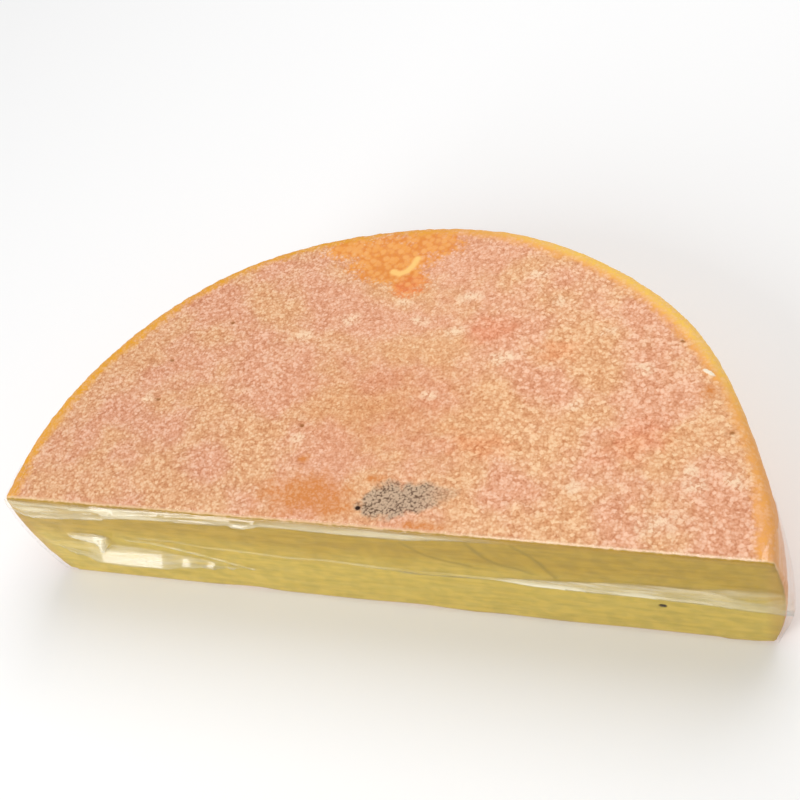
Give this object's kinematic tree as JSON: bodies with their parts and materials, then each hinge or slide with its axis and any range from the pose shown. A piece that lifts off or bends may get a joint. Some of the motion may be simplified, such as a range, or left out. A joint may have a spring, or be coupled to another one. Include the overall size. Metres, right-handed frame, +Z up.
{
  "type": "raclette half wheel",
  "caption": "Half wheel of washed-rind melting cheese lying flat, with a grainy orange crust, a convex heel and a straight cut face under stretched clear film.",
  "frame": {"origin": "middle of the footprint's box, on the flat underside that the half wheel lies on", "axes": "+X along the cut face towards its right end, +Y from the cut face to the back of the heel, +Z up through the thickness"},
  "size_m": [0.3344, 0.1686, 0.0674],
  "materials": {
    "cheese": "dry grainy orange-pink crust on the outside and smooth golden yellow paste on the cut face",
    "film": "thin clear glossy food film with folds and creases"
  },
  "bodies": {
    "root": {"half_wheel": "cheese", "film": "film"}
  },
  "joints": []
}
